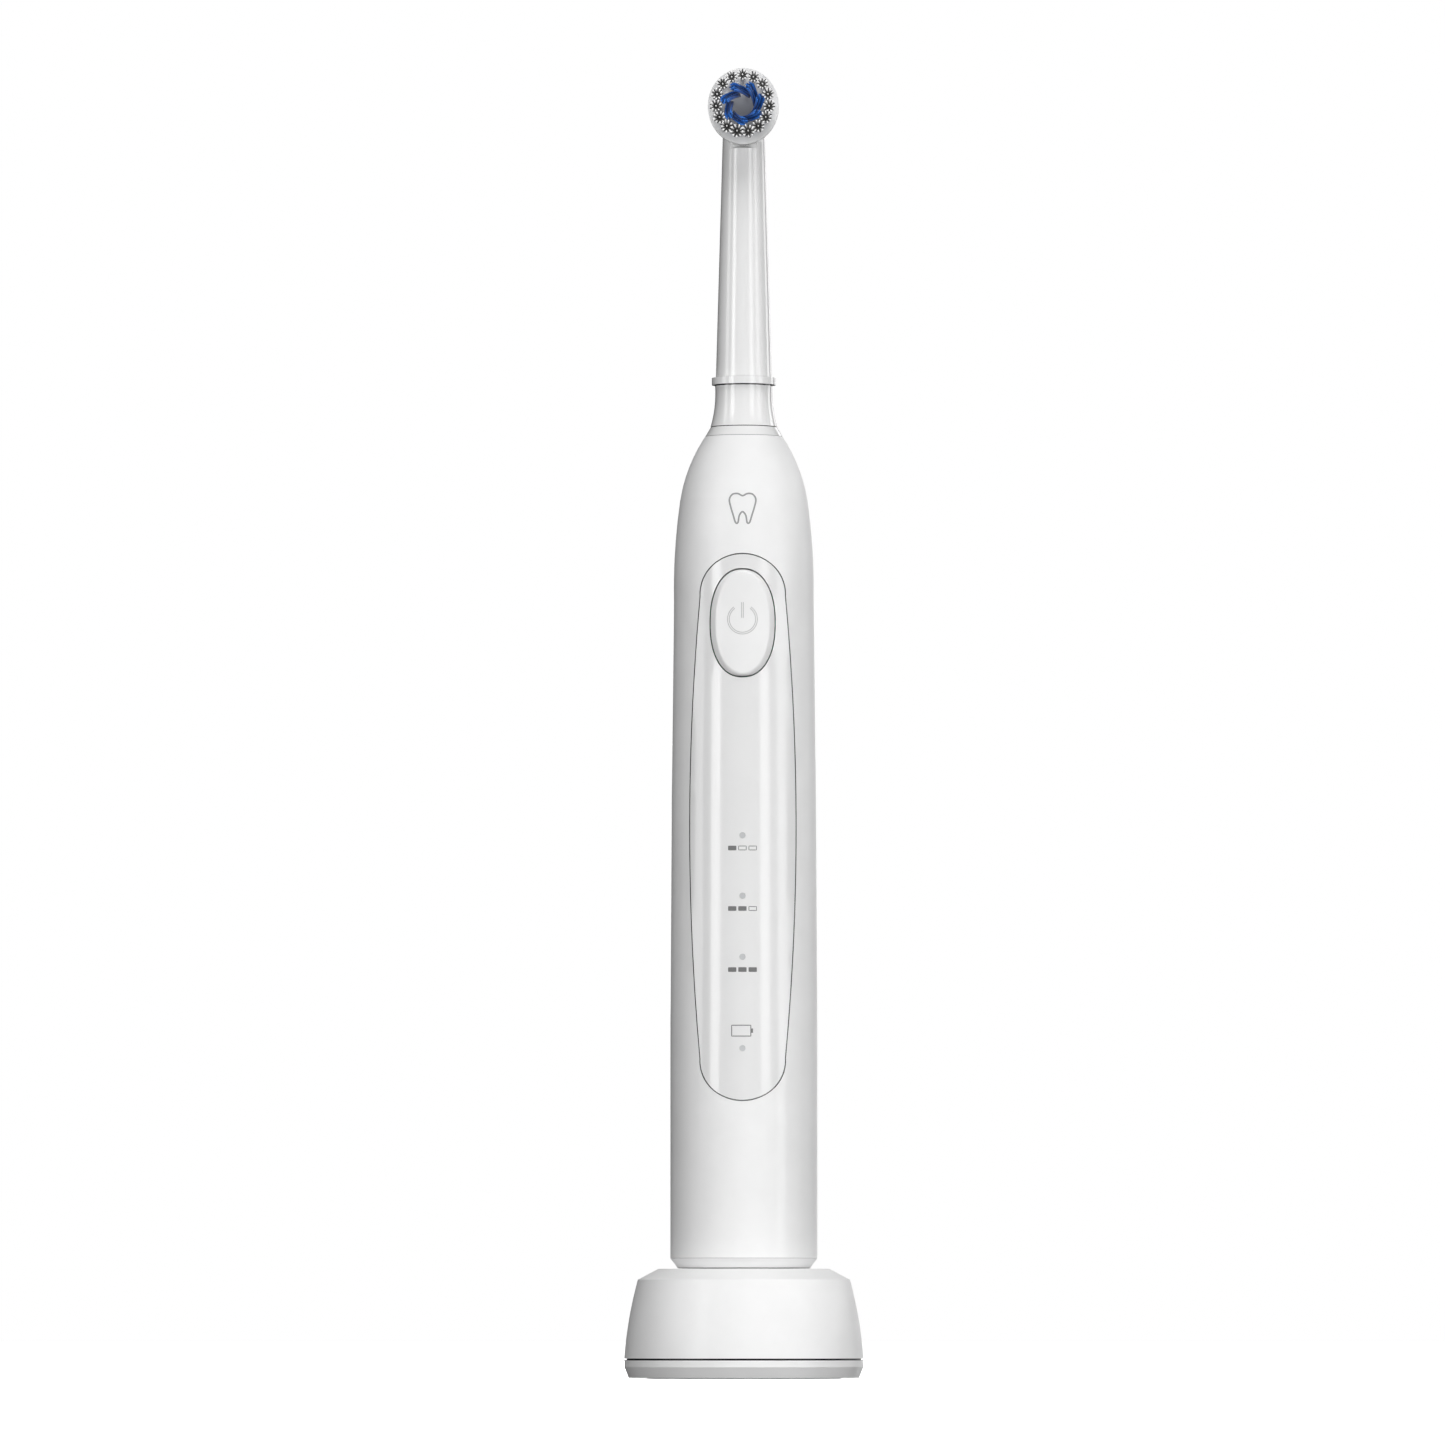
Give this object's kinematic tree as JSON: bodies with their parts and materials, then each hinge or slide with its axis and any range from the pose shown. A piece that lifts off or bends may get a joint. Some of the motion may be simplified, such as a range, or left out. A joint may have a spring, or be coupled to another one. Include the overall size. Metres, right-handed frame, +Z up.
{
  "type": "electric toothbrush on charger",
  "caption": "Oscillating electric toothbrush with a removable round brush head, standing on a round inductive charging stand.",
  "frame": {"origin": "centre of the underside of the charger's foot, on the surface it stands on", "axes": "+Z up along the handle, front with the button and bristles towards -Y, +X to the viewer's right"},
  "size_m": [0.0444, 0.0444, 0.2436],
  "materials": {
    "rubber": "soft matte elastomer",
    "charger_white": "satin moulded plastic",
    "inlet_white": "matte flexible plastic",
    "screw_steel": "zinc plated",
    "circuit_board": "green solder mask",
    "component_black": "moulded black",
    "ferrite": "sintered dark grey",
    "bobbin_black": "glass filled nylon",
    "copper": "enamelled copper wire",
    "handle_white": "satin moulded plastic",
    "panel_gloss": "high gloss inlay",
    "light_pipe": "frosted grey window",
    "seal_grey": "soft grey elastomer",
    "button_gloss": "gloss moulded cap",
    "collar_gloss": "gloss moulded plastic",
    "battery_sleeve": "shrink sleeve over a cell can",
    "nickel": "nickel strip",
    "chassis_grey": "moulded frame plastic",
    "led_chip": "clear epoxy",
    "motor_steel": "pressed steel",
    "shaft_steel": "ground stainless",
    "gear_nylon": "natural acetal",
    "frame_metal": "die cast",
    "bronze": "sintered bronze",
    "head_gloss": "gloss moulded plastic",
    "plate_milky": "milky translucent plastic",
    "bristle_white": "nylon filaments",
    "bristle_blue": "coloured nylon filaments"
  },
  "bodies": {
    "charger": {"foot_pad": "rubber", "charger_base": "charger_white", "charger_housing": "charger_white", "cord_inlet": "inlet_white", "charger_screws": "screw_steel", "charger_board": "circuit_board", "charger_capacitor": "component_black", "charger_transistor": "component_black", "charger_ferrite": "ferrite", "charger_bobbin": "bobbin_black", "charger_coil": "copper"},
    "handle": {"handle_shell": "handle_white", "control_panel": "panel_gloss", "led_light_pipes": "light_pipe", "button_gasket": "seal_grey", "handle_base": "handle_white", "base_seal": "rubber", "neck_collar": "collar_gloss", "receiver_bobbin": "bobbin_black", "receiver_coil": "copper", "battery": "battery_sleeve", "battery_tabs": "nickel", "chassis": "chassis_grey", "main_board": "circuit_board", "board_screws": "screw_steel", "status_leds": "led_chip", "controller_chip": "component_black", "tact_switch": "component_black", "motor_can": "motor_steel", "motor_end_bell": "bobbin_black", "motor_magnets": "ferrite", "gear_axle": "shaft_steel", "drive_frame": "frame_metal", "lower_bushing": "bronze", "upper_bushing": "bronze", "shaft_seal": "rubber"},
    "power_button": {"power_button": "button_gloss"},
    "switch_plunger": {"switch_plunger": "seal_grey"},
    "motor_rotor": {"motor_shaft": "shaft_steel", "armature": "copper", "pinion": "gear_nylon"},
    "crank": {"crank_gear": "gear_nylon", "crank_pin": "shaft_steel"},
    "drive_shaft": {"drive_shaft": "shaft_steel", "rocker_arm": "motor_steel"},
    "brush_head": {"head_base": "head_gloss", "id_ring": "head_gloss", "head_tube": "head_gloss", "disc_axle": "shaft_steel", "link_bush": "gear_nylon"},
    "link": {"link_coupler": "gear_nylon", "link_shaft": "shaft_steel"},
    "brush_disc": {"brush_plate": "plate_milky", "outer_tufts": "bristle_white", "inner_tufts": "bristle_blue"}
  },
  "joints": [
    {"name": "handle_lift", "type": "slide", "parent": "charger", "child": "handle", "axis": [0, 0, 1], "range_m": [0, 0.05]},
    {"name": "head_pull", "type": "slide", "parent": "handle", "child": "brush_head", "axis": [0, 0, 1], "range_m": [0, 0.03]},
    {"name": "shaft_swing", "type": "hinge", "parent": "handle", "child": "drive_shaft", "pos_m": [0, 0, 0.15], "axis": [0, 0, 1], "range_deg": [-20, 20]},
    {"name": "link_swing", "type": "hinge", "parent": "brush_head", "child": "link", "pos_m": [0, 0, 0.21], "axis": [0, 0, 1], "range_deg": [-20, 20]},
    {"name": "disc_swing", "type": "hinge", "parent": "brush_head", "child": "brush_disc", "pos_m": [0, 0, 0.2365], "axis": [0, 1, 0], "range_deg": [-20, 20]},
    {"name": "crank_turn", "type": "hinge", "parent": "handle", "child": "crank", "pos_m": [0.0046, 0, 0.119], "axis": [0, 0, 1], "continuous": true},
    {"name": "motor_turn", "type": "hinge", "parent": "handle", "child": "motor_rotor", "pos_m": [-0.0024, 0, 0.104], "axis": [0, 0, 1], "continuous": true},
    {"name": "button_press", "type": "slide", "parent": "handle", "child": "power_button", "axis": [0, 1, 0], "range_m": [0, 0.0005], "stiffness_N_per_m": 900, "springref_m": -0.0002},
    {"name": "plunger_press", "type": "slide", "parent": "handle", "child": "switch_plunger", "axis": [0, 1, 0], "range_m": [0, 0.0005]}
  ],
  "couplings": [
    {"joint": "link_swing", "follows": "shaft_swing", "ratio": 1},
    {"joint": "disc_swing", "follows": "shaft_swing", "ratio": -1},
    {"joint": "crank_turn", "follows": "motor_turn", "ratio": -0.42857},
    {"joint": "plunger_press", "follows": "button_press", "ratio": 1}
  ]
}
